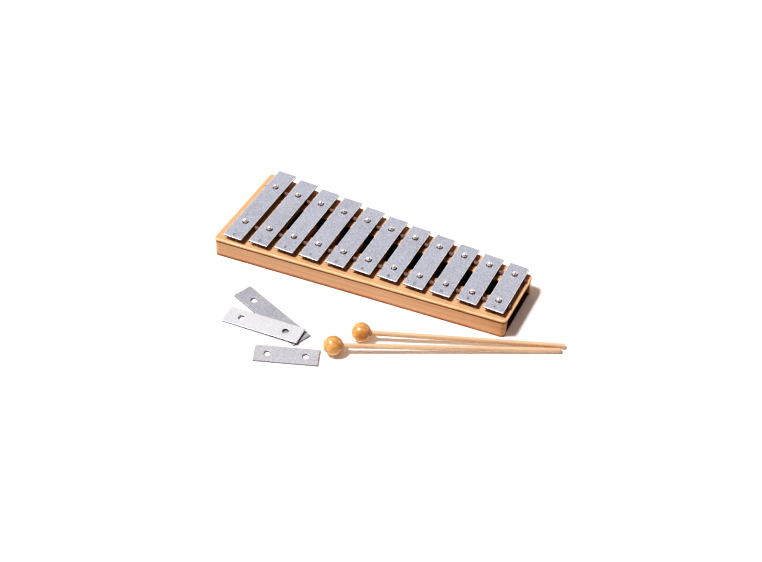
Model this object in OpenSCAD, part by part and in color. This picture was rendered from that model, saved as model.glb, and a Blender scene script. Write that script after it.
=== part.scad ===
// Eleven-bar glockenspiel (metal-bar xylophone) set: a tapered resonator box with
// lift-off bars, two ball mallets and three exchange bars lying in front of it.
// Origin: centre of the box's underside. +X runs to the short bars, +Z is up.

/* [Resonator box] */
// length of the box
box_len = 339; // [300:1:380]
// full width of the box at the long-bar end
box_w_left = 132.8; // [120:0.1:150]
// full width of the box at the short-bar end
box_w_right = 81.9; // [70:0.1:100]
// height of the box, top plate included
box_h = 23.9; // [18:0.1:30]
// thickness of the top plate
plate_t = 3; // [2.6:0.1:6]
// thickness of the side walls
wall_t = 7; // [5:0.5:10]
// thickness of the closed end wall
end_t = 8; // [5:0.5:12]
// thickness of the bottom board
bottom_t = 3; // [2:0.1:5]
// corner radius in plan at the short-bar end
corner_r = 5; // [3:0.5:8]
// corner radius in plan at the long-bar end
corner_r_left = 4.5; // [3:0.5:10]
// how far the top plate stands past the side walls
plate_lip = 0.5; // [0:0.1:2]
// how far the bottom board stops short of the open end
bottom_setback = 1.4; // [0:0.1:4]

/* [Sound slot] */
// slot start, from the centre of the box
slot_x0 = -107.4; // [-130:0.1:-80]
// slot end, from the centre of the box
slot_x1 = 158.6; // [140:0.1:163]
// half-width of the slot at its wide end
slot_hw0 = 18.6; // [14:0.1:22]
// half-width of the slot at its narrow end
slot_hw1 = 12.4; // [8:0.1:18]
// offset of the slot towards the far side
slot_off = 3.7; // [0:0.1:6]

/* [Bars] */
// number of bars
bar_n = 11; // [5:1:15]
// distance between bar centres
pitch = 30; // [25:0.5:35]
// width of a bar
bar_w = 22.8; // [18:0.1:26]
// thickness of a bar
bar_t = 1.8; // [1.6:0.1:4]
// length of the first bar, the lowest note
bar_len_low = 129.4; // [115:0.1:140]
// x of the middle bar
mid_x = 2.35; // [-5:0.05:8]
// offset of the bars, pins and cords towards the far side
row_off = 2.7; // [0:0.1:4]
// height of the underside of the bars
bar_z = 28.9; // [27.7:0.1:32]
// radius of the holes in a bar
hole_r = 3.45; // [3.1:0.05:4]
// distance of the pins of the middle bar from the row's centreline
pin_y = 29.1; // [24:0.05:34]
// pin distance lost from one bar to the next
pin_step = 1.155; // [0.5:0.005:2]

/* [Pins and support cords] */
// radius of the pin's shank
pin_r = 1.3; // [1:0.05:1.8]
// radius of the pin's ball head
ball_r = 2.8; // [2:0.05:3.1]
// height of the centre of the ball head
ball_z = 32.2; // [30:0.1:33]
// depth of the pin in the top plate
pin_depth = 2.4; // [1.5:0.1:2.6]
// radius of the soft support cords
cord_r = 2.4; // [1.6:0.05:2.6]
// how far the cords stick out past the outer bars
cord_out = 2; // [0:0.5:5]

/* [Inside the box] */
// width and height of the ledge strips that hold the bottom board
ledge = 6; // [4:0.5:8]
// number of screws along each side of the underside
screw_n = 4; // [2:1:6]
// radius of a screw head
screw_head_r = 2.6; // [2:0.1:4]
// size of the glue blocks in the closed corners
block = 11; // [8:0.5:15]

/* [Exchange bars] */
// lengths of the three exchange bars
spare_len = [68, 101, 87.7];
// x and y of their centres
spare_pos = [[-22, -169.3], [-64.4, -123.9], [-64.1, -142.2]];
// their directions in degrees
spare_ang = [20.7, -21.7, 2.8];
// distance of the holes from the ends, as a share of the length
spare_hole = 0.205; // [0.18:0.005:0.25]
// clearance between the two stacked bars
stack_gap = 0.2; // [0.05:0.05:0.5]
// height of the leaning bar's lowest corner
lean_z = 0.1; // [0:0.05:0.3]

/* [Mallets] */
// radius of a mallet head
head_r = 10.5; // [8:0.1:14]
// radius of a mallet stick
stick_r = 2.8; // [2:0.1:4]
// depth of the stick's hole in the head, measured from its centre towards the far side
stick_in = 4; // [0:0.5:8]
// distance from the head's centre to the stick's end, front and rear mallet
mallet_len = [238.5, 214.6];
// x and y of the head's centres
mallet_pos = [[18.6, -142.8], [35.8, -111.8]];
// directions of the sticks in degrees
mallet_ang = [27.5, 24.0];

/* [Hidden] */
$fn = 64;
arc_n = 8;
slope = (box_w_left - box_w_right) / 2 / box_len;
hw_mid = (box_w_left + box_w_right) / 4;
wall_h = box_h - plate_t;
mid_i = (bar_n - 1) / 2;
pin_slope = pin_step / pitch;
cord_ang = atan(pin_slope);
// direction across the long exchange bar and a point on its front edge
lean_dir = [-sin(spare_ang[1]), cos(spare_ang[1])];
lean_edge = spare_pos[1] - bar_w / 2 * lean_dir;
// distance from that edge to the lowest corner of the bar that leans on it
lean_cross = spare_ang[2] - spare_ang[1];
lean_reach = (lean_edge - spare_pos[2]) * lean_dir
  + (spare_len[2] * sin(lean_cross) + bar_w * cos(lean_cross)) / 2;
tilt = asin((bar_t + stack_gap - lean_z) / lean_reach);
// semitones above the first note for one octave of the scale
scale_steps = [0, 2, 4, 5, 7, 9, 11];

// half-width of the box at x
function half_w(x) = hw_mid - slope * x;
// x of bar number i, counted from 0 at the long end
function bar_x(i) = mid_x + (i - mid_i) * pitch;
// semitones of bar number i above the first one
function semitones(i) = scale_steps[i % 7] + 12 * floor(i / 7);
// a bar's note rises by an octave when its length falls by the square root of two
function bar_len(i) = bar_len_low / pow(2, semitones(i) / 24);
function pin_off(i) = pin_y - pin_step * (i - mid_i);
function unit(v) = v / norm(v);
// outward normal of the edge from a to b of a counter-clockwise outline
function normal(a, b) = [unit(b - a)[1], -unit(b - a)[0]];
// corner p between its neighbours a and b, rounded to radius r in arc_n steps
function corner(p, a, b, r) =
  let (n1 = normal(a, p), n2 = normal(p, b), half = acos(n1 * n2) / 2,
    c = p - unit(n1 + n2) * r / cos(half), t1 = atan2(n1[1], n1[0]))
  [for (k = [0:arc_n]) c + r * [cos(t1 + 2 * half * k / arc_n), sin(t1 + 2 * half * k / arc_n)]];

// outline with rounded corners
module rounded(p, r) {
  n = len(p);
  polygon([for (i = [0:n - 1])
    for (q = corner(p[i], p[(i + n - 1) % n], p[(i + 1) % n], r[i])) q]);
}

// tapered outline, drawn in by d all round
module outline(d, rl, rr) {
  x0 = -box_len / 2 + d;
  x1 = box_len / 2 - d;
  rounded([[x0, -half_w(x0) + d], [x1, -half_w(x1) + d],
    [x1, half_w(x1) - d], [x0, half_w(x0) - d]], [rl, rr, rr, rl]);
}

// flat area between two lines that follow the taper, s = -1 near side, +1 far side
module side_strip(s, x0, x1, d0, d1) {
  polygon([[x0, s * (half_w(x0) - d0)], [x1, s * (half_w(x1) - d0)],
    [x1, s * (half_w(x1) - d1)], [x0, s * (half_w(x0) - d1)]]);
}

module top_plate() {
  color("burlywood") difference() {
    translate([0, 0, wall_h]) linear_extrude(plate_t)
      outline(0, corner_r_left, corner_r);
    translate([0, slot_off, wall_h - 1]) linear_extrude(plate_t + 2)
      polygon([[slot_x0, -slot_hw0], [slot_x1, -slot_hw1],
        [slot_x1, slot_hw1], [slot_x0, slot_hw0]]);
    for (s = [-1, 1]) for (i = [0:bar_n - 1]) {
      translate([bar_x(i), row_off + s * pin_off(i), box_h - pin_depth])
        cylinder(r = pin_r, h = pin_depth + 1);
    }
  }
}

// one long side wall with rounded outer corners
module side_wall(s) {
  intersection() {
    linear_extrude(wall_h) outline(plate_lip, corner_r_left, corner_r);
    linear_extrude(wall_h) side_strip(s, -box_len / 2, box_len / 2, -5, wall_t + plate_lip);
  }
}
module near_side_wall() { color("peru") side_wall(-1); }
module far_side_wall() { color("peru") side_wall(1); }

// closed end, fitted between the side walls
module closed_end_wall() {
  x0 = -box_len / 2 + plate_lip;
  x1 = x0 + end_t;
  w = wall_t + plate_lip;
  color("peru") linear_extrude(wall_h)
    polygon([[x0, -half_w(x0) + w], [x1, -half_w(x1) + w],
      [x1, half_w(x1) - w], [x0, half_w(x0) - w]]);
}

// thin floor of the box, between the walls, with countersunk screw holes
module bottom_board() {
  x0 = -box_len / 2 + plate_lip + end_t;
  x1 = box_len / 2 - bottom_setback;
  w = wall_t + plate_lip;
  color("tan") difference() {
    linear_extrude(bottom_t)
      polygon([[x0, -half_w(x0) + w], [x1, -half_w(x1) + w],
        [x1, half_w(x1) - w], [x0, half_w(x0) - w]]);
    for (s = [-1, 1]) for (k = [0:screw_n - 1]) screw_at(s, k) {
      translate([0, 0, -1]) cylinder(r = 1, h = bottom_t + 2);
      translate([0, 0, -1]) cylinder(r = screw_head_r, h = 1.4);
      translate([0, 0, 0.4]) cylinder(r1 = screw_head_r, r2 = 1, h = 1.6);
    }
  }
}

module ledge_strip(s) {
  x0 = -box_len / 2 + plate_lip + end_t;
  x1 = box_len / 2 - 12;
  w = wall_t + plate_lip;
  color("wheat") difference() {
    translate([0, 0, bottom_t]) linear_extrude(ledge)
      side_strip(s, x0 + (block + 1), x1, w, w + ledge);
    for (k = [0:screw_n - 1]) screw_at(s, k) {
      translate([0, 0, bottom_t - 1]) cylinder(r = 1, h = 5);
    }
  }
}
module near_ledge_strip() { ledge_strip(-1); }
module far_ledge_strip() { ledge_strip(1); }

// two upright blocks in the corners of the closed end
module corner_blocks() {
  x0 = -box_len / 2 + plate_lip + end_t;
  w = wall_t + plate_lip;
  color("wheat") for (s = [-1, 1]) {
    translate([0, 0, bottom_t]) linear_extrude(wall_h - bottom_t)
      side_strip(s, x0, x0 + block, w, w + block);
  }
}

// place children at screw k of side s
module screw_at(s, k) {
  x = -box_len / 2 + 36 + k * (box_len - 66) / (screw_n - 1);
  translate([x, s * (half_w(x) - wall_t - plate_lip - ledge / 2), 0]) children();
}
module bottom_screws() {
  color("silver") for (s = [-1, 1]) for (k = [0:screw_n - 1]) screw_at(s, k) {
    translate([0, 0, 0.4]) cylinder(r1 = screw_head_r, r2 = 1, h = 1.6);
    translate([0, 0, 1.9]) cylinder(r = 1, h = 5);
  }
}

// soft round cord under the bars, pierced by the pins of its side
module support_cord(s) {
  x0 = bar_x(0) - bar_w / 2 - cord_out;
  x1 = bar_x(bar_n - 1) + bar_w / 2 + cord_out;
  y0 = pin_y - pin_slope * (x0 - mid_x);
  color("mistyrose") difference() {
    translate([x0, row_off + s * y0, box_h + cord_r]) rotate([0, 0, -s * cord_ang])
      rotate([0, 90, 0]) cylinder(r = cord_r, h = (x1 - x0) / cos(cord_ang));
    for (i = [0:bar_n - 1]) {
      translate([bar_x(i), row_off + s * pin_off(i), box_h - 1]) cylinder(r = pin_r, h = 10);
    }
  }
}
module near_support_cord() { support_cord(-1); }
module far_support_cord() { support_cord(1); }

// ball-headed pins that the bars hang on
module pins(s) {
  color("silver") for (i = [0:bar_n - 1]) {
    translate([bar_x(i), row_off + s * pin_off(i), 0]) {
      translate([0, 0, box_h - pin_depth])
        cylinder(r = pin_r, h = ball_z - box_h + pin_depth);
      translate([0, 0, ball_z]) sphere(r = ball_r);
    }
  }
}
module near_pins() { pins(-1); }
module far_pins() { pins(1); }

// one bar at rest on the cords
module bar(i) {
  l = bar_len(i);
  color("lightsteelblue") difference() {
    translate([bar_x(i) - bar_w / 2, row_off - l / 2, bar_z]) cube([bar_w, l, bar_t]);
    for (s = [-1, 1]) {
      translate([bar_x(i), row_off + s * pin_off(i), bar_z - 1]) cylinder(r = hole_r, h = bar_t + 2);
    }
  }
}

// exchange bar k on its own, long side along x, underside at z = 0
module loose_bar(k) {
  l = spare_len[k];
  difference() {
    translate([-l / 2, -bar_w / 2, 0]) cube([l, bar_w, bar_t]);
    for (s = [-1, 1]) {
      translate([s * l * (0.5 - spare_hole), 0, -1]) cylinder(r = hole_r, h = bar_t + 2);
    }
  }
}
module exchange_bar(k) {
  color("lightsteelblue") translate(spare_pos[k]) rotate([0, 0, spare_ang[k]]) loose_bar(k);
}
module exchange_bar_short() { exchange_bar(0); }
module exchange_bar_long() { exchange_bar(1); }
// the middle one leans over the long one's front edge, one corner on the floor
module exchange_bar_middle() {
  a = spare_ang[1];
  color("lightsteelblue") translate([lean_edge[0], lean_edge[1], bar_t + stack_gap])
    rotate([0, 0, a]) rotate([tilt, 0, 0]) rotate([0, 0, -a])
    translate(spare_pos[2] - lean_edge) rotate([0, 0, spare_ang[2]]) loose_bar(2);
}

// frame of mallet k: origin at the head's centre, x along the stick
module mallet_at(k) {
  drop = asin((head_r - stick_r) / mallet_len[k]);
  translate([mallet_pos[k][0], mallet_pos[k][1], head_r])
    rotate([0, 0, mallet_ang[k]]) rotate([0, drop, 0]) children();
}
module mallet_head(k) {
  color("goldenrod") mallet_at(k) difference() {
    sphere(r = head_r);
    translate([-stick_in, 0, 0]) rotate([0, 90, 0]) cylinder(r = stick_r, h = head_r * 2);
  }
}
module mallet_stick(k) {
  color("wheat") mallet_at(k) translate([-stick_in, 0, 0]) rotate([0, 90, 0])
    cylinder(r = stick_r, h = mallet_len[k] + stick_in);
}
module front_mallet_head() { mallet_head(0); }
module front_mallet_stick() { mallet_stick(0); }
module rear_mallet_head() { mallet_head(1); }
module rear_mallet_stick() { mallet_stick(1); }

top_plate();
near_side_wall();
far_side_wall();
closed_end_wall();
bottom_board();
near_ledge_strip();
far_ledge_strip();
corner_blocks();
bottom_screws();
near_support_cord();
far_support_cord();
near_pins();
far_pins();
bar(0);  // bar_01_c
bar(1);  // bar_02_d
bar(2);  // bar_03_e
bar(3);  // bar_04_f
bar(4);  // bar_05_g
bar(5);  // bar_06_a
bar(6);  // bar_07_b
bar(7);  // bar_08_c
bar(8);  // bar_09_d
bar(9);  // bar_10_e
bar(10);  // bar_11_f
exchange_bar_short();
exchange_bar_long();
exchange_bar_middle();
front_mallet_head();
front_mallet_stick();
rear_mallet_head();
rear_mallet_stick();
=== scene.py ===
import math

import bpy
from mathutils import Matrix, Vector, geometry


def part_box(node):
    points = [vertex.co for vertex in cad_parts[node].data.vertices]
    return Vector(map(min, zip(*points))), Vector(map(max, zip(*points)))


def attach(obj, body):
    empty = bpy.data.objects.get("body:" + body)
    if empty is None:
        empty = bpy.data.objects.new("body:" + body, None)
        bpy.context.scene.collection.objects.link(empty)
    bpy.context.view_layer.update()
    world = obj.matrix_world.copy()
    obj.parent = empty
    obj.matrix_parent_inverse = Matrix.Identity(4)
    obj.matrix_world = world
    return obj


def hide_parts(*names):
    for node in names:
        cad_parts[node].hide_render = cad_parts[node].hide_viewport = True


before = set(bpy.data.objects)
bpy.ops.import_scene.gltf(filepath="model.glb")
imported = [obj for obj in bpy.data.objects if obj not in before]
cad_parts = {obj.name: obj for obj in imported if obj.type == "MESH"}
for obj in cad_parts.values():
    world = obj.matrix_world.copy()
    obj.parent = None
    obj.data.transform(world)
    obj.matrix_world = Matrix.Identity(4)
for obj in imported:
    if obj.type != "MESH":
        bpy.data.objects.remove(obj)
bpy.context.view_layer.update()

MM = 0.001

# ---------------------------------------------------------------- driving sizes, in metres
BOX_LEN = 339 * MM
BOX_W_LEFT, BOX_W_RIGHT = 132.8 * MM, 81.9 * MM
CORNER_LEFT, CORNER_RIGHT = 4.5 * MM, 5 * MM
PLATE_LIP = 0.5 * MM
PLATE_ROUND, WALL_ROUND, BAR_ROUND = (1.2 * MM, 0.4 * MM), (0.9 * MM, 0.4 * MM), (0.65 * MM, 0.2 * MM)
SLOT_CORNER, WALL_END_ROUND, BAR_CORNER = 1.5 * MM, 0.8 * MM, 0.7 * MM
LETTER_SIZE, LETTER_IN, LETTER_DEPTH = 5.2 * MM, 5.2 * MM, 0.35 * MM
WALL_T, END_T = 7 * MM, 8 * MM
SLOT_X, SLOT_HALF = (-107.4 * MM, 158.6 * MM), (18.6 * MM, 12.4 * MM)
SLOT_OFF = 3.7 * MM
MID_X, PITCH, BAR_W, BAR_T = 2.35 * MM, 30 * MM, 22.8 * MM, 1.8 * MM
ROW_OFF = 2.7 * MM
PIN_Y, PIN_STEP = 29.1 * MM, 1.155 * MM
HOLE_R, PIN_R, BALL_R, BALL_Z = 3.45 * MM, 1.3 * MM, 2.8 * MM, 32.2 * MM
CORD_R = 2.4 * MM
SPARE_LEN = (68 * MM, 101 * MM, 87.7 * MM)
SPARE_POS = ((-22 * MM, -169.3 * MM), (-64.4 * MM, -123.9 * MM), (-64.1 * MM, -142.2 * MM))
SPARE_ANGLE = (20.7, -21.7, 2.8)
SPARE_HOLE = 0.205
STACK_GAP, LEAN_Z = 0.2 * MM, 0.1 * MM
HEAD_R, STICK_R, STICK_IN = 10.5 * MM, 2.8 * MM, 4 * MM
HEAD_FLAT_R, STICK_ROUND = 0.9 * MM, 1.0 * MM
MALLET_LEN = (238.5 * MM, 214.6 * MM)
MALLET_POS = ((18.6 * MM, -142.8 * MM), (35.8 * MM, -111.8 * MM))
MALLET_ANGLE = (27.5, 24.0)
NOTES = ("c", "d", "e", "f", "g", "a", "b", "c", "d", "e", "f")
BAR_NODES = ["bar_%02d_%s" % (i + 1, n) for i, n in enumerate(NOTES)]
SPARE_NODES = ("exchange_bar_short", "exchange_bar_long", "exchange_bar_middle")
SPARE_BODIES = ("spare_short", "spare_long", "spare_middle")
MID_I = (len(NOTES) - 1) / 2
SLOPE = (BOX_W_LEFT - BOX_W_RIGHT) / 2 / BOX_LEN


# ---------------------------------------------------------------- material graphs
class Graph:
    """One node material: short calls that add and link nodes."""

    def __init__(self, name):
        self.mat = bpy.data.materials.new(name)
        self.mat.use_nodes = True
        self.tree = self.mat.node_tree
        self.tree.nodes.clear()
        self.shader = self.tree.nodes.new("ShaderNodeBsdfPrincipled")
        out = self.tree.nodes.new("ShaderNodeOutputMaterial")
        self.tree.links.new(self.shader.outputs[0], out.inputs[0])
        self.coords = self.tree.nodes.new("ShaderNodeTexCoord").outputs["Object"]

    def put(self, socket, value):
        if isinstance(value, bpy.types.NodeSocket):
            self.tree.links.new(value, socket)
        else:
            socket.default_value = value

    def stretch(self, scale, vector=None, shift=(0, 0, 0), turn=(0, 0, 0)):
        node = self.tree.nodes.new("ShaderNodeMapping")
        self.put(node.inputs["Vector"], vector or self.coords)
        node.inputs["Scale"].default_value = scale
        node.inputs["Location"].default_value = shift
        node.inputs["Rotation"].default_value = turn
        return node.outputs[0]

    def noise(self, vector, scale=1.0, detail=3.0, rough=0.55):
        node = self.tree.nodes.new("ShaderNodeTexNoise")
        self.put(node.inputs["Vector"], vector)
        node.inputs["Scale"].default_value = scale
        node.inputs["Detail"].default_value = detail
        node.inputs["Roughness"].default_value = rough
        return node.outputs["Fac"]

    def cells(self, vector, scale=1.0):
        node = self.tree.nodes.new("ShaderNodeTexVoronoi")
        self.put(node.inputs["Vector"], vector)
        node.inputs["Scale"].default_value = scale
        return node.outputs["Distance"]

    def math(self, operation, a, b=0.0):
        node = self.tree.nodes.new("ShaderNodeMath")
        node.operation = operation
        self.put(node.inputs[0], a)
        self.put(node.inputs[1], b)
        return node.outputs[0]

    def spread(self, value, low, high, to_low=0.0, to_high=1.0):
        node = self.tree.nodes.new("ShaderNodeMapRange")
        self.put(node.inputs["Value"], value)
        limits = {"From Min": low, "From Max": high, "To Min": to_low, "To Max": to_high}
        for key, number in limits.items():
            node.inputs[key].default_value = number
        return node.outputs[0]

    def ramp(self, value, stops):
        node = self.tree.nodes.new("ShaderNodeValToRGB")
        self.put(node.inputs[0], value)
        while len(node.color_ramp.elements) < len(stops):
            node.color_ramp.elements.new(0.5)
        for element, (place, colour) in zip(node.color_ramp.elements, stops):
            element.position = place
            element.color = (*colour, 1)
        return node.outputs[0]

    def mix(self, share, a, b):
        node = self.tree.nodes.new("ShaderNodeMix")
        node.data_type = "RGBA"
        self.put(node.inputs[0], share)
        self.put(node.inputs[6], a if not isinstance(a, tuple) else (*a, 1))
        self.put(node.inputs[7], b if not isinstance(b, tuple) else (*b, 1))
        return node.outputs[2]

    def bump(self, height, distance, strength=1.0):
        node = self.tree.nodes.new("ShaderNodeBump")
        self.put(node.inputs["Height"], height)
        node.inputs["Distance"].default_value = distance
        node.inputs["Strength"].default_value = strength
        return node.outputs[0]

    def finish(self, **values):
        for key, value in values.items():
            self.put(self.shader.inputs[key.replace("_", " ")], value)
        return self.mat


def wood(name, pale, mid, dark, ring, pith, turn=(0, 0, 0), varnish=0.0, rough=0.45, fleck=0.35,
         seed=0.0, shade_bands=()):
    """Solid wood with rings about an axis along x at pith = (y, z), long fibres, pores and flecks.

    The last argument holds bands of painted shade (z where it is darkest, z where it ends, colour,
    strength) along joints and feet.
    """
    g = Graph(name)
    base = g.stretch((1, 1, 1), turn=turn, shift=(seed, 0, 0))
    wander = g.noise(g.stretch((2, 9, 9), base), 1.0, 2.0)
    sep = g.tree.nodes.new("ShaderNodeSeparateXYZ")
    g.put(sep.inputs[0], base)
    y = g.math("SUBTRACT", sep.outputs[1], pith[0])
    z = g.math("SUBTRACT", sep.outputs[2], pith[1])
    radius = g.math("SQRT", g.math("ADD", g.math("MULTIPLY", y, y), g.math("MULTIPLY", z, z)))
    warped = g.math("ADD", radius, g.math("MULTIPLY", wander, ring * 5))
    jitter = g.noise(g.stretch((1, 90, 90), base), 1.0, 1.0)
    uneven = g.math("ADD", g.math("DIVIDE", warped, ring), jitter)
    rings = g.math("FRACT", uneven)
    fibre = g.noise(g.stretch((26, 900, 900), base), 1.0, 4.0, 0.65)
    streak = g.noise(g.stretch((6, 260, 260), base), 1.0, 3.0, 0.6)
    pores = g.cells(g.stretch((160, 1500, 1500), base), 1.0)
    blotch = g.noise(g.stretch((14, 40, 40), base), 1.0, 2.0)
    tone = g.ramp(rings, [(0.0, pale), (0.55, mid), (0.9, dark), (1.0, pale)])
    tone = g.mix(g.spread(streak, 0.3, 0.7, 0.1, 0.85), tone, mid)
    tone = g.mix(g.spread(fibre, 0.42, 0.72, 0.0, fleck), tone, dark)
    tone = g.mix(g.spread(pores, 0.0, 0.32, fleck, 0.0), tone, dark)
    tone = g.mix(g.spread(blotch, 0.35, 0.65, 0.0, 0.35), tone, pale)
    level = g.tree.nodes.new("ShaderNodeSeparateXYZ")
    g.put(level.inputs[0], g.coords)
    shade_mottle = g.noise(g.stretch((60, 400, 400)), 1.0, 3.0)
    # Painted shade: each band darkens the wood towards its colour near the joint under the plate and along
    # the foot, mottled by a noise.
    for z_dark, z_unshaded, colour, strength in shade_bands:
        band = g.spread(level.outputs[2], z_dark, z_unshaded, strength, 0.0)
        tone = g.mix(g.math("MULTIPLY", band, g.spread(shade_mottle, 0.3, 0.7, 0.75, 1.1)), tone, colour)
    height = g.math("ADD", g.math("MULTIPLY", fibre, 0.6), g.spread(pores, 0.0, 0.3, -0.5, 0.0))
    normal = g.bump(height, 0.06 * MM, 0.5)
    return g.finish(
        Base_Color=tone, Roughness=g.spread(fibre, 0.3, 0.8, rough - 0.06, rough + 0.12),
        Coat_Weight=varnish, Coat_Roughness=0.18, Normal=normal)


SATIN_METALLIC = 0.3


def satin_metal(name, tone, rough, speck):
    """Anodised or blasted metal: fine specks, faint drawn lines and handling marks."""
    g = Graph(name)
    fine = g.noise(g.coords, 1300.0, 2.0, 0.7)
    coarse = g.noise(g.coords, 480.0, 3.0, 0.75)
    lines = g.noise(g.stretch((2600, 60, 2600)), 1.0, 3.0, 0.7)
    cloud = g.noise(g.coords, 30.0, 3.0, 0.55)
    dull = tuple(c * (1 - speck) for c in tone)
    bright = tuple(min(1.0, c * (1 + speck)) for c in tone)
    colour = g.ramp(coarse, [(0.34, dull), (0.5, tone), (0.66, bright)])
    colour = g.mix(g.spread(fine, 0.35, 0.7, 0.0, 0.35), colour, tone)
    colour = g.mix(g.spread(cloud, 0.3, 0.7, 0.0, 0.3), colour, bright)
    mottled = g.math("ADD", g.spread(fine, 0.3, 0.7, -0.06, 0.06),
                     g.spread(cloud, 0.3, 0.7, -0.03, 0.04))
    roughness = g.math("ADD", mottled, g.spread(lines, 0.3, 0.7, rough - 0.03, rough + 0.03))
    height = g.math("ADD", g.math("MULTIPLY", coarse, 0.8), g.math("MULTIPLY", lines, 0.2))
    return g.finish(Base_Color=colour, Metallic=SATIN_METALLIC, Roughness=roughness,
                    Normal=g.bump(height, 0.05 * MM, 0.3))


def chrome():
    g = Graph("chrome")
    smear = g.noise(g.coords, 420.0, 3.0)
    colour = g.ramp(smear, [(0.3, (0.90, 0.90, 0.92)), (0.7, (0.98, 0.98, 0.98))])
    return g.finish(Base_Color=colour, Metallic=0.6, Roughness=g.spread(smear, 0.3, 0.7, 0.26, 0.34),
                    Normal=g.bump(g.noise(g.coords, 900.0, 2.0), 0.02 * MM, 0.3))


def stamp_metal():
    """Floor of the stamped letters: dark metal with fine pits."""
    g = Graph("stamp_metal")
    pits = g.noise(g.coords, 1600.0, 3.0, 0.7)
    colour = g.ramp(pits, [(0.3, (0.10, 0.10, 0.11)), (0.7, (0.26, 0.26, 0.28))])
    return g.finish(Base_Color=colour, Metallic=0.8, Roughness=g.spread(pits, 0.3, 0.7, 0.5, 0.7))


def soft_cord():
    """Close-celled foam cord, slightly pink grey, with fine open pores; its colours are darkened as
    painted shade for a cord lying under the bars.
    """
    g = Graph("soft_cord")
    pores = g.cells(g.coords, 1400.0)
    grain = g.noise(g.coords, 700.0, 4.0, 0.65)
    # Dark ramp colours: painted shade of the cord under the bars.
    colour = g.ramp(grain, [(0.3, (0.24, 0.16, 0.15)), (0.7, (0.38, 0.28, 0.26))])
    colour = g.mix(g.spread(pores, 0.0, 0.35, 0.5, 0.0), colour, (0.14, 0.09, 0.08))
    height = g.math("ADD", pores, g.math("MULTIPLY", grain, 0.5))
    return g.finish(Base_Color=colour, Roughness=g.spread(grain, 0.3, 0.7, 0.75, 0.95),
                    Normal=g.bump(height, 0.12 * MM, 0.6))


def screw_steel():
    g = Graph("screw_steel")
    marks = g.noise(g.coords, 1100.0, 4.0, 0.7)
    colour = g.ramp(marks, [(0.3, (0.34, 0.33, 0.31)), (0.7, (0.58, 0.57, 0.54))])
    return g.finish(Base_Color=colour, Metallic=1.0, Roughness=g.spread(marks, 0.3, 0.7, 0.3, 0.5),
                    Normal=g.bump(marks, 0.03 * MM, 0.4))


FLOOR_GLOW = 0.15


def floor_paper():
    """Translucent table top, softly lit from below so shadows stay open."""
    g = Graph("floor_paper")
    tooth = g.noise(g.coords, 300.0, 3.0)
    colour = g.ramp(tooth, [(0.3, (0.90, 0.90, 0.90)), (0.7, (0.92, 0.92, 0.92))])
    return g.finish(Base_Color=colour, Roughness=0.95, Specular_IOR_Level=0.1,
                    Emission_Color=(1, 1, 1, 1), Emission_Strength=FLOOR_GLOW)


# ---------------------------------------------------------------- mesh helpers
def soften(obj):
    """Smooth shading with crisp edges kept."""
    mesh = obj.data
    mesh.polygons.foreach_set("use_smooth", [True] * len(mesh.polygons))
    mesh.set_sharp_from_angle(angle=math.radians(40))
    weighted = obj.modifiers.new("normals", "WEIGHTED_NORMAL")
    weighted.keep_sharp = True
    weighted.weight = 100


def piece(name, verts, faces, body, material, stands_for, edges=(), edge_material=None):
    """A finished mesh piece that rides on a body and stands for CAD nodes.

    edges lists the faces with a second finish.
    """
    mesh = bpy.data.meshes.new(name)
    mesh.from_pydata([tuple(v) for v in verts], [], faces)
    mesh.materials.append(material)
    if edge_material:
        mesh.materials.append(edge_material)
    for index in edges:
        mesh.polygons[index].material_index = 1
    mesh.update()
    obj = bpy.data.objects.new(name, mesh)
    bpy.context.scene.collection.objects.link(obj)
    soften(obj)
    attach(obj, body)
    if stands_for:
        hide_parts(*stands_for)
    return obj


def inset(loop, d):
    """The closed loop moved d to its left, where the solid is."""
    out = []
    n = len(loop)
    for i, p in enumerate(loop):
        a, b = Vector(loop[i - 1]), Vector(loop[(i + 1) % n])
        p = Vector(p)
        d1, d2 = (p - a).normalized(), (b - p).normalized()
        n1, n2 = Vector((-d1.y, d1.x)), Vector((-d2.y, d2.x))
        m = (n1 + n2).normalized()
        out.append(p + m * (d / max(0.2, m.dot(n1))))
    return out


def slab(loops, z0, z1, top_edge, bottom_edge, steps=4):
    """Board between z0 and z1: the outer loop runs counter-clockwise, holes clockwise, rims are rounded.

    Also returns the faces of the rounded top rims and those of every rim.
    """
    levels = []
    for k in range(steps + 1):
        a = math.pi / 2 * k / steps
        levels.append((bottom_edge * (1 - math.sin(a)), z0 + bottom_edge * (1 - math.cos(a))))
    for k in range(steps + 1):
        a = math.pi / 2 * k / steps
        levels.append((top_edge * (1 - math.cos(a)), z1 - top_edge * (1 - math.sin(a))))
    verts, faces, first, top_rim = [], [], [], []
    for loop in loops:
        first.append(len(verts))
        for d, z in levels:
            verts += [(p[0], p[1], z) for p in inset(loop, d)]
        n = len(loop)
        for r in range(len(levels) - 1):
            for i in range(n):
                a = first[-1] + r * n + i
                b = first[-1] + r * n + (i + 1) % n
                if r > steps:
                    top_rim.append(len(faces))
                faces.append((a, b, b + n, a + n))
    rims_end = len(faces)
    for level, flip in ((0, True), (len(levels) - 1, False)):
        index, rims = [], []
        for loop, start in zip(loops, first):
            n = len(loop)
            ids = [start + level * n + i for i in range(n)]
            index += ids
            rims.append([Vector((verts[i][0], verts[i][1], 0)) for i in ids])
        for tri in geometry.tessellate_polygon(rims):
            a, b, c = (Vector(verts[index[i]]) for i in tri)
            up = (b - a).cross(c - a).z > 0
            ids = [index[i] for i in tri]
            faces.append(tuple(ids if up != flip else ids[::-1]))
    return verts, faces, top_rim, range(rims_end)


def circle(cx, cy, r, n=40, clockwise=False):
    step = (-1 if clockwise else 1) * 2 * math.pi / n
    return [(cx + r * math.cos(step * i), cy + r * math.sin(step * i)) for i in range(n)]


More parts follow.
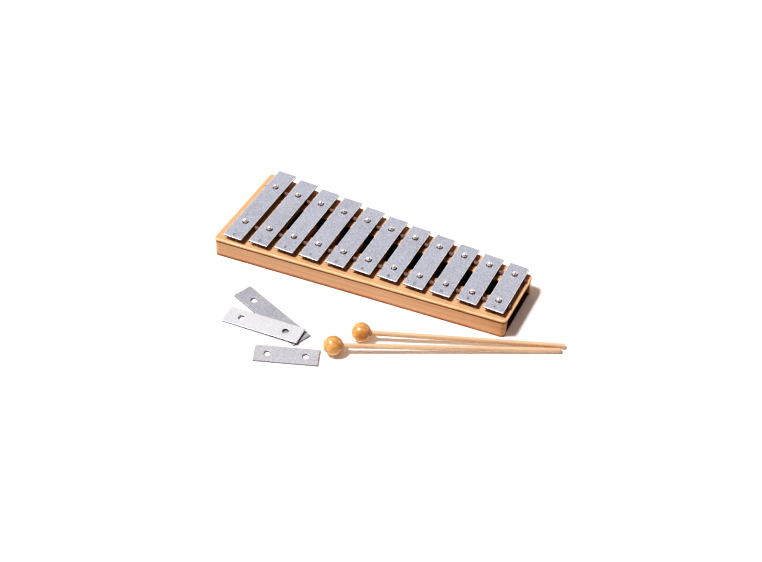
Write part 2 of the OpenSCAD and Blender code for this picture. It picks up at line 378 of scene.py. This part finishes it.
def rounded(corners, radii, n=10):
    """Counter-clockwise outline whose corners are arcs."""
    out = []
    for i, (p, r) in enumerate(zip(corners, radii)):
        p, a, b = Vector(p), Vector(corners[i - 1]), Vector(corners[(i + 1) % len(corners)])
        if r == 0:
            out.append(tuple(p))
            continue
        d1, d2 = (p - a).normalized(), (b - p).normalized()
        n1, n2 = Vector((d1.y, -d1.x)), Vector((d2.y, -d2.x))
        half = math.acos(max(-1, min(1, n1.dot(n2)))) / 2
        c = p - (n1 + n2).normalized() * (r / math.cos(half))
        t = math.atan2(n1.y, n1.x)
        out += [(c.x + r * math.cos(t + 2 * half * k / n), c.y + r * math.sin(t + 2 * half * k / n))
                for k in range(n + 1)]
    return out


def half_width(x):
    return (BOX_W_LEFT + BOX_W_RIGHT) / 4 - SLOPE * x


def lathe(profile, n=64):
    """Surface turned about x from (x, radius) points; the ends close on the axis."""
    verts, faces = [], []
    for x, r in profile:
        verts += [(x, *point) for point in circle(0, 0, r, n)]
    for k in range(len(profile) - 1):
        for i in range(n):
            a, b = k * n + i, k * n + (i + 1) % n
            faces.append((a, a + n, b + n, b))
    for k, flip in ((0, False), (len(profile) - 1, True)):
        centre = len(verts)
        verts.append((profile[k][0], 0, 0))
        for i in range(n):
            a, b = k * n + i, k * n + (i + 1) % n
            faces.append((centre, a, b) if not flip else (centre, b, a))
    return verts, faces


def placed(verts, matrix):
    return [matrix @ Vector(v) for v in verts]


def node_top(name):
    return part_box(name)[1].z


def node_bottom(name):
    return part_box(name)[0].z


# ---------------------------------------------------------------- materials used
WALL_TOP = node_top("near_side_wall")
# Painted shade: a dark red-brown band in the joint under the plate's lip, and an orange-brown band with a
# dark line along the walls' foot.
JOINT_SHADE, FOOT_SHADE_BAND, FOOT_SHADE_LINE = (0.18, 0.045, 0.012), (0.44, 0.15, 0.04), (0.17, 0.04, 0.01)
WALL_TURN = math.atan(SLOPE)
# The plate's underside edge over the walls is darkened with painted shade.
PLATE_WOOD = wood("plate_wood", (0.83, 0.60, 0.41), (0.77, 0.52, 0.33), (0.63, 0.37, 0.19),
                  3.2 * MM, (-0.5, 0.1), varnish=0.35, rough=0.42, fleck=0.30, seed=0.3,
                  shade_bands=((WALL_TOP, WALL_TOP + 0.5 * MM, JOINT_SHADE, 0.9),))
# Paler wood on the plate's rounded top rims: a painted highlight along the edges.
RIM_HIGHLIGHT_WOOD = wood("rim_highlight_wood", (0.98, 0.80, 0.56), (0.95, 0.73, 0.46), (0.86, 0.56, 0.30),
                 3.2 * MM, (-0.5, 0.1), varnish=0.2, rough=0.5, fleck=0.25, seed=0.3)
# Very dark wood for the inside of the box: painted shade inside the box.
INSIDE_SHADE_WOOD = wood("inside_shade_wood", (0.22, 0.085, 0.045), (0.17, 0.06, 0.03), (0.09, 0.03, 0.015),
                5.0 * MM, (0.03, 0.15), rough=0.75, fleck=0.4, seed=4.1)
BAR_METAL = satin_metal("bar_metal", (0.525, 0.57, 0.655), 0.42, 0.26)
SPARE_METALS = (satin_metal("short_spare_metal", (0.60, 0.635, 0.70), 0.42, 0.22),
                satin_metal("long_spare_metal", (0.50, 0.535, 0.60), 0.42, 0.24),
                # the leaning middle spare is a brighter copy of the metal: painted highlight for its tilt
                # toward the light
                satin_metal("middle_spare_metal", (0.75, 0.79, 0.85), 0.42, 0.12))
# Near-white metal for the main bars' top bevels: a painted highlight along the edges.
BEVEL_HIGHLIGHT_METAL = satin_metal("bevel_highlight_metal", (0.95, 0.95, 0.96), 0.46, 0.05)
# Very dark metal for the bars' sides and hole walls: painted shade.
SIDE_SHADE_METAL = satin_metal("side_shade_metal", (0.09, 0.085, 0.09), 0.5, 0.20)
CHROME = chrome()
STAMP = stamp_metal()
CORD = soft_cord()
STEEL = screw_steel()


def wall_wood(name, turn, seed):
    """Wall timber with its grain turned along the wall, with painted shade under the plate and along the
    foot.
    """
    return wood(name, (0.80, 0.55, 0.37), (0.74, 0.475, 0.30), (0.62, 0.36, 0.20),
                6.5 * MM, (0.05, -0.6), turn=(0, 0, turn), varnish=0.30, rough=0.42, fleck=0.35, seed=seed,
                shade_bands=((WALL_TOP - 1.4 * MM, WALL_TOP - 2.0 * MM, JOINT_SHADE, 1.0),
                        (1.4 * MM, 4.0 * MM, FOOT_SHADE_BAND, 0.9), (0.7 * MM, 1.9 * MM, FOOT_SHADE_LINE, 0.95)))


def mallet_woods(k):
    turn = (0, 0, -math.radians(MALLET_ANGLE[k]))
    head = wood("head_wood_%d" % (k + 1), (0.93, 0.62, 0.33), (0.81, 0.46, 0.19), (0.52, 0.20, 0.05),
                5.0 * MM, (0.05, -0.03), turn=turn, varnish=1.0, rough=0.30, fleck=0.18, seed=0.7 + k)
    stick = wood("stick_wood_%d" % (k + 1), (0.88, 0.70, 0.54), (0.84, 0.63, 0.46), (0.70, 0.46, 0.30),
                 1.8 * MM, (0.01, -0.03), turn=turn, varnish=0.15, rough=0.5, fleck=0.25, seed=2.9 + k)
    return head, stick


# ---------------------------------------------------------------- resonator box
def build_plate():
    z0, z1 = node_bottom("top_plate"), node_top("top_plate")
    x0, x1 = -BOX_LEN / 2, BOX_LEN / 2
    h0, h1 = half_width(x0), half_width(x1)
    outer = rounded([(x0, -h0), (x1, -h1), (x1, h1), (x0, h0)],
                    [CORNER_LEFT, CORNER_RIGHT, CORNER_RIGHT, CORNER_LEFT])
    (sx0, sx1), (h0, h1) = SLOT_X, SLOT_HALF
    off = SLOT_OFF
    slot = rounded([(sx0, off - h0), (sx1, off - h1), (sx1, off + h1), (sx0, off + h0)],
                   [SLOT_CORNER] * 4, 5)[::-1]
    # The rounded top rims take the paler wood, a painted highlight.
    verts, faces, highlight_rim, _ = slab([outer, slot], z0, z1, *PLATE_ROUND)
    piece("top_plate_board", verts, faces, "resonator", PLATE_WOOD, ["top_plate"],
          highlight_rim, RIM_HIGHLIGHT_WOOD)


def build_walls():
    top = node_top("near_side_wall")
    lip = PLATE_LIP
    x0, x1 = -BOX_LEN / 2 + lip, BOX_LEN / 2 - lip
    out0, out1 = half_width(x0) - lip, half_width(x1) - lip
    in0, in1 = out0 - WALL_T, out1 - WALL_T
    radii = [CORNER_LEFT, CORNER_RIGHT, WALL_END_ROUND, 0]
    near = rounded([(x0, -out0), (x1, -out1), (x1, -in1), (x0, -in0)], radii)
    far = [(x, -y) for x, y in near][::-1]
    for loop, node, turn in ((near, "near_side_wall", -WALL_TURN), (far, "far_side_wall", WALL_TURN)):
        verts, faces, _, _ = slab([loop], 0.0, top, *WALL_ROUND)
        timber = wall_wood(node + "_wood", turn, 1.7 + turn)
        piece(node + "_board", verts, faces, "resonator", timber, [node])
    xe = x0 + END_T
    end = [(x0, -in0), (xe, -in0 + SLOPE * END_T), (xe, in0 - SLOPE * END_T), (x0, in0)]
    verts, faces, _, _ = slab([end], 0.0, top, *WALL_ROUND)
    timber = wall_wood("closed_end_wood", math.pi / 2, 3.3)
    piece("closed_end_board", verts, faces, "resonator", timber, ["closed_end_wall"])


def paint_inside():
    # The inside parts get the very dark wood, painted shade inside the box.
    for node in ("bottom_board", "near_ledge_strip", "far_ledge_strip", "corner_blocks"):
        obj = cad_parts[node]
        obj.data.materials.clear()
        obj.data.materials.append(INSIDE_SHADE_WOOD)
    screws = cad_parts["bottom_screws"]
    screws.data.materials.clear()
    screws.data.materials.append(STEEL)


# ---------------------------------------------------------------- cords, pins and bars
def bar_x(i):
    return MID_X + (i - MID_I) * PITCH


def pin_offset(i):
    return PIN_Y - PIN_STEP * (i - MID_I)


def build_cord(node, side):
    lo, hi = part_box(node)
    slope = PIN_STEP / PITCH
    z = lo.z + CORD_R
    a = Vector((lo.x, ROW_OFF + side * (PIN_Y - slope * (lo.x - MID_X)), z))
    b = Vector((hi.x, ROW_OFF + side * (PIN_Y - slope * (hi.x - MID_X)), z))
    length = (b - a).length
    n = 90
    ends = 0.5 * MM
    profile = [(0, CORD_R - ends), (ends * 0.3, CORD_R - ends * 0.3)]
    profile += [(ends + (length - 2 * ends) * k / n, CORD_R) for k in range(n + 1)]
    profile += [(length - ends * 0.3, CORD_R - ends * 0.3), (length, CORD_R - ends)]
    turn = (b - a).to_track_quat("X", "Z").to_matrix().to_4x4()
    verts, faces = lathe(profile, 32)
    piece(node + "_foam", placed(verts, Matrix.Translation(a) @ turn), faces,
          "resonator", CORD, [node])


def pin_profile():
    """Shank, a small neck and a ball head, along x."""
    shank_foot = node_bottom("near_pins")
    points = [(shank_foot, PIN_R * 0.4), (shank_foot + 0.6 * MM, PIN_R)]
    start = math.asin(PIN_R / BALL_R)
    for k in range(25):
        a = start + (math.pi - start) * k / 24
        points.append((BALL_Z - BALL_R * math.cos(a), max(BALL_R * math.sin(a), 0.01 * MM)))
    return points


def build_pins(node, side):
    verts, faces = [], []
    one_verts, one_faces = lathe(pin_profile(), 32)
    upright = Matrix.Rotation(-math.pi / 2, 4, "Y")
    for i in range(len(NOTES)):
        base = len(verts)
        place = Matrix.Translation((bar_x(i), ROW_OFF + side * pin_offset(i), 0)) @ upright
        verts += placed(one_verts, place)
        faces += [tuple(base + v for v in f) for f in one_faces]
    piece(node + "_chrome", verts, faces, "resonator", CHROME, [node])


def letter_cutter(text, size, centre, matrix):
    """A closed mesh of a letter that reaches from above the bar to the stamp's depth."""
    data = bpy.data.curves.new("letter", "FONT")
    data.body = text
    data.size = size
    data.align_x = "CENTER"
    data.align_y = "CENTER"
    data.extrude = LETTER_DEPTH
    data.resolution_u = 3
    obj = bpy.data.objects.new("letter", data)
    bpy.context.scene.collection.objects.link(obj)
    obj.matrix_world = matrix @ Matrix.Translation(centre)
    bpy.context.view_layer.update()
    mesh = bpy.data.meshes.new_from_object(obj.evaluated_get(bpy.context.evaluated_depsgraph_get()))
    mesh.transform(obj.matrix_world)
    mesh.materials.clear()
    mesh.materials.append(STAMP)
    bpy.data.objects.remove(obj)
    cutter = bpy.data.objects.new("letter_cutter", mesh)
    bpy.context.scene.collection.objects.link(cutter)
    return cutter


def stamp(obj, cutter):
    """Cuts the letter into the bar and throws the cutter away."""
    cut = obj.modifiers.new("stamp", "BOOLEAN")
    cut.operation = "DIFFERENCE"
    cut.solver = "EXACT"
    cut.material_mode = "TRANSFER"
    cut.object = cutter
    bpy.context.view_layer.update()
    mesh = bpy.data.meshes.new_from_object(obj.evaluated_get(bpy.context.evaluated_depsgraph_get()))
    obj.modifiers.remove(cut)
    old = obj.data
    obj.data = mesh
    bpy.data.meshes.remove(old)
    bpy.data.objects.remove(cutter)


def bar_mesh(length, hole_at):
    """One bar along y with two holes at +-hole_at, underside at z = 0."""
    w, h = BAR_W / 2, length / 2
    outer = rounded([(-w, -h), (w, -h), (w, h), (-w, h)], [BAR_CORNER] * 4, 4)
    holes = [circle(0, s * hole_at, HOLE_R, 40, clockwise=True) for s in (-1, 1)]
    return slab([outer, *holes], 0.0, BAR_T, *BAR_ROUND, 3)


def build_bar(name, node, body, length, hole_at, matrix, metal, bevel_metal, letter=None):
    verts, faces, bevels, rims = bar_mesh(length, hole_at)
    mesh = bpy.data.meshes.new(name)
    mesh.from_pydata([tuple(v) for v in verts], [], faces)
    mesh.materials.append(metal)
    mesh.materials.append(SIDE_SHADE_METAL)
    mesh.materials.append(bevel_metal)
    # Rims take the very dark side metal, painted shade on sides and hole walls; bevels take the bevel
    # metal, on the main bars a painted highlight.
    for index in rims:
        mesh.polygons[index].material_index = 1
    for index in bevels:
        mesh.polygons[index].material_index = 2
    obj = bpy.data.objects.new(name, mesh)
    bpy.context.scene.collection.objects.link(obj)
    mesh.transform(matrix)
    if letter:
        centre = Vector((0, -length / 2 + LETTER_IN, BAR_T))
        stamp(obj, letter_cutter(letter, LETTER_SIZE, centre, matrix))
    soften(obj)
    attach(obj, body)
    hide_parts(node)


def build_bars():
    for i, node in enumerate(BAR_NODES):
        lo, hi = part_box(node)
        place = Matrix.Translation(((lo.x + hi.x) / 2, (lo.y + hi.y) / 2, lo.z))
        build_bar(node + "_metal", node, "bar_%02d" % (i + 1), hi.y - lo.y, pin_offset(i), place,
                  BAR_METAL, BEVEL_HIGHLIGHT_METAL, NOTES[i].upper())


def build_spares():
    """The exchange bars; the last one leans on the front edge of the long one."""
    turn_long = math.radians(SPARE_ANGLE[1])
    across = Vector((-math.sin(turn_long), math.cos(turn_long), 0))
    edge = Vector((*SPARE_POS[1], 0)) - BAR_W / 2 * across
    cross = math.radians(SPARE_ANGLE[2]) - turn_long
    reach = (edge - Vector((*SPARE_POS[2], 0))).dot(across) \
        + (SPARE_LEN[2] * math.sin(cross) + BAR_W * math.cos(cross)) / 2
    lean = math.asin((BAR_T + STACK_GAP - LEAN_Z) / reach)
    upright = Matrix.Rotation(-math.pi / 2, 4, "Z")
    for k, (node, body) in enumerate(zip(SPARE_NODES, SPARE_BODIES)):
        turn = Matrix.Rotation(math.radians(SPARE_ANGLE[k]), 4, "Z")
        place = Matrix.Translation((*SPARE_POS[k], 0)) @ turn @ upright
        if k == 2:
            about = Matrix.Rotation(turn_long, 4, "Z") @ Matrix.Rotation(lean, 4, "X") \
                @ Matrix.Rotation(-turn_long, 4, "Z")
            place = Matrix.Translation(edge + Vector((0, 0, BAR_T + STACK_GAP))) @ about \
                @ Matrix.Translation(-edge) @ place
        hole_at = SPARE_LEN[k] * (0.5 - SPARE_HOLE)
        metal = SPARE_METALS[k]
        build_bar(node + "_metal", node, body, SPARE_LEN[k], hole_at, place, metal, metal)


# ---------------------------------------------------------------- mallets
def head_profile():
    """Turned ball, slightly flat at its nose, open where the stick enters."""
    points = [(-HEAD_R * 0.995, HEAD_FLAT_R)]
    last = math.asin((STICK_R + 0.05 * MM) / HEAD_R)
    for k in range(1, 40):
        a = math.pi - (math.pi - last) * k / 39
        if HEAD_R * math.sin(a) > HEAD_FLAT_R:
            points.append((HEAD_R * math.cos(a), HEAD_R * math.sin(a)))
    mouth = HEAD_R * math.cos(last)
    points.append((mouth - 0.5 * MM, STICK_R + 0.02 * MM))
    return points


def stick_profile(length):
    """Plain dowel with a softened end."""
    r = STICK_R
    points = [(-STICK_IN, r * 0.98)]
    points += [(length * k / 40, r) for k in range(0, 40)]
    for k in range(6):
        a = math.pi / 2 * k / 5
        points.append((length - STICK_ROUND * (1 - math.sin(a)), r - STICK_ROUND * (1 - math.cos(a))))
    return points


def build_mallet(k, name, body):
    head_wood, stick_wood = mallet_woods(k)
    drop = math.asin((HEAD_R - STICK_R) / MALLET_LEN[k])
    turn = Matrix.Rotation(math.radians(MALLET_ANGLE[k]), 4, "Z")
    place = Matrix.Translation((*MALLET_POS[k], HEAD_R)) @ turn @ Matrix.Rotation(drop, 4, "Y")
    verts, faces = lathe(head_profile(), 72)
    piece(name + "_ball", placed(verts, place), faces, body, head_wood, [name + "_head"])
    verts, faces = lathe(stick_profile(MALLET_LEN[k]), 40)
    piece(name + "_dowel", placed(verts, place), faces, body, stick_wood, [name + "_stick"])


# ---------------------------------------------------------------- stage
BACKDROP_R, FLOOR_DROP = 15.0, 0.02 * MM
BACKDROP_GLOW = 1.2


def backdrop_white():
    """Evenly lit cloth behind the floor, with a faint weave."""
    g = Graph("backdrop_white")
    weave = g.noise(g.coords, 40.0, 2.0)
    colour = g.ramp(weave, [(0.3, (0.97, 0.97, 0.97)), (0.7, (1.0, 1.0, 1.0))])
    return g.finish(Base_Color=colour, Roughness=1.0,
                    Emission_Color=colour, Emission_Strength=BACKDROP_GLOW)


def build_backdrop():
    """A round wall far behind the floor that only the camera sees, so low views end in white."""
    n = 64
    ring = circle(0, 0, BACKDROP_R, n)
    verts = [(x, y, z) for z in (-FLOOR_DROP, 2 * BACKDROP_R) for x, y in ring]
    mesh = bpy.data.meshes.new("backdrop")
    mesh.from_pydata(verts, [], [(i, (i + 1) % n, n + (i + 1) % n, n + i) for i in range(n)])
    mesh.materials.append(backdrop_white())
    wall = bpy.data.objects.new("backdrop", mesh)
    wall.visible_diffuse = False
    wall.visible_glossy = False
    wall.visible_transmission = False
    wall.visible_shadow = False
    bpy.context.scene.collection.objects.link(wall)


def build_stage():
    size = BACKDROP_R * 1.1
    mesh = bpy.data.meshes.new("floor")
    corners = [(-size, -size, 0), (size, -size, 0), (size, size, 0), (-size, size, 0)]
    mesh.from_pydata(corners, [], [(0, 1, 2, 3)])
    mesh.materials.append(floor_paper())
    floor = bpy.data.objects.new("floor", mesh)
    floor.location.z = -FLOOR_DROP
    bpy.context.scene.collection.objects.link(floor)


KEY_FROM = Vector((-0.47, -0.30, 1.0)).normalized()
KEY_ENERGY, KEY_ANGLE = 3.3, 10
SKY_FROM = Vector((-0.42, 0.22, 0.88)).normalized()
PANEL_FAR = 2.2
# name, direction, side in metres, radiance, colour
PANELS = (("panel", Vector((-0.295, 0.678, 0.673)).normalized(), 2.4, 0.40, (0.66, 0.86, 1.0)),
          ("rim", Vector((0.67, 0.68, 0.294)).normalized(), 1.3, 2.6, (1.0, 1.0, 1.0)))
ROOM_COLOUR, ROOM_DIM, ROOM_BRIGHT, ROOM_EDGE = (1.0, 0.71, 0.57, 1), 0.03, 0.50, -0.15
CONTRAST = ((0.05, 0.008), (0.15, 0.05), (0.35, 0.225), (0.6, 0.52), (0.85, 0.83))


def gloss_panel(name, direction, size, radiance, colour):
    """A square panel that only shiny faces see, facing the origin."""
    panel = bpy.data.lights.new(name, "AREA")
    panel.size = size
    panel.color = colour
    panel.energy = radiance * math.pi * size ** 2
    obj = bpy.data.objects.new(name, panel)
    obj.location = direction * PANEL_FAR
    obj.rotation_euler = (-direction).to_track_quat("-Z", "Y").to_euler()
    obj.visible_diffuse = False
    obj.visible_camera = False
    bpy.context.scene.collection.objects.link(obj)


def build_lights():
    """A soft key from the left, a graded dim room, and two panels that only shiny faces see."""
    key = bpy.data.lights.new("key", "SUN")
    key.energy = KEY_ENERGY
    key.angle = math.radians(KEY_ANGLE)
    obj = bpy.data.objects.new("key", key)
    obj.rotation_euler = (-KEY_FROM).to_track_quat("-Z", "Y").to_euler()
    bpy.context.scene.collection.objects.link(obj)
    for panel in PANELS:
        gloss_panel(*panel)
    world = bpy.data.worlds.new("studio")
    world.use_nodes = True
    tree = world.node_tree
    tree.nodes.clear()
    coords = tree.nodes.new("ShaderNodeTexCoord")
    dot = tree.nodes.new("ShaderNodeVectorMath")
    dot.operation = "DOT_PRODUCT"
    dot.inputs[1].default_value = SKY_FROM
    spread = tree.nodes.new("ShaderNodeMapRange")
    limits = {"From Min": ROOM_EDGE, "From Max": 1.0, "To Min": ROOM_DIM, "To Max": ROOM_BRIGHT}
    for key_name, number in limits.items():
        spread.inputs[key_name].default_value = number
    back = tree.nodes.new("ShaderNodeBackground")
    out = tree.nodes.new("ShaderNodeOutputWorld")
    tree.links.new(coords.outputs["Generated"], dot.inputs[0])
    tree.links.new(dot.outputs["Value"], spread.inputs["Value"])
    tree.links.new(spread.outputs[0], back.inputs["Strength"])
    tree.links.new(back.outputs[0], out.inputs[0])
    back.inputs["Color"].default_value = ROOM_COLOUR
    bpy.context.scene.world = world


def grade():
    """Plain display transform with a print-like contrast curve."""
    view = bpy.context.scene.view_settings
    view.view_transform = "Standard"
    view.use_curve_mapping = True
    curve = view.curve_mapping.curves[3]
    for x, y in CONTRAST:
        curve.points.new(x, y)
    view.curve_mapping.update()


CAM_TARGET = Vector((28.87, -50.76, 30.7)) * MM
CAM_DISTANCE = 1420.9 * MM
CAM_AZIMUTH, CAM_ELEVATION, CAM_ROLL = 23.51, 42.31, 2.80
CAM_LENS = 62.83


def build_camera():
    az, el, roll = (math.radians(a) for a in (CAM_AZIMUTH, CAM_ELEVATION, CAM_ROLL))
    back = Vector((math.sin(az) * math.cos(el), -math.cos(az) * math.cos(el), math.sin(el)))
    right = (-back).cross(Vector((0, 0, 1))).normalized()
    up = right.cross(-back)
    right_rolled = right * math.cos(roll) + up * math.sin(roll)
    up_rolled = up * math.cos(roll) - right * math.sin(roll)
    data = bpy.data.cameras.new("camera")
    data.sensor_width = 36
    data.lens = CAM_LENS
    obj = bpy.data.objects.new("camera", data)
    turn = Matrix((right_rolled, up_rolled, back)).transposed().to_4x4()
    obj.matrix_world = Matrix.Translation(CAM_TARGET + back * CAM_DISTANCE) @ turn
    bpy.context.scene.collection.objects.link(obj)
    bpy.context.scene.camera = obj


build_plate()
build_walls()
paint_inside()
build_cord("near_support_cord", -1)
build_cord("far_support_cord", 1)
build_pins("near_pins", -1)
build_pins("far_pins", 1)
build_bars()
build_spares()
build_mallet(0, "front_mallet", "front_mallet")
build_mallet(1, "rear_mallet", "rear_mallet")
build_stage()
build_backdrop()
build_lights()
build_camera()
grade()
